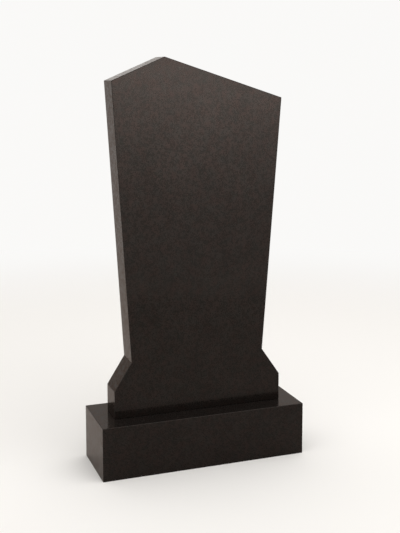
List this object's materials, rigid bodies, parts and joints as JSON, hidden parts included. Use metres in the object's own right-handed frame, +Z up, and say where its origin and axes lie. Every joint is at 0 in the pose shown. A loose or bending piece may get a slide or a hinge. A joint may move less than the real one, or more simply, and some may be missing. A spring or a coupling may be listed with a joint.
{
  "type": "granite headstone",
  "caption": "Free-standing polished dark granite headstone: a thin tapered upright slab with a flared foot and an off-centre peak, pinned on a rectangular plinth block.",
  "frame": {"origin": "centre of the plinth's underside, on the ground", "axes": "+X to the right across the face as seen from the front, +Y from the front to the back, +Z up"},
  "size_m": [0.6, 0.2, 1.1507],
  "materials": {
    "polished_granite": "polished",
    "setting_adhesive": "matte",
    "dowel_steel": "satin"
  },
  "bodies": {
    "root": {"plinth": "polished_granite", "bed_joint": "setting_adhesive", "left_dowel": "dowel_steel", "right_dowel": "dowel_steel", "stele": "polished_granite"}
  },
  "joints": []
}
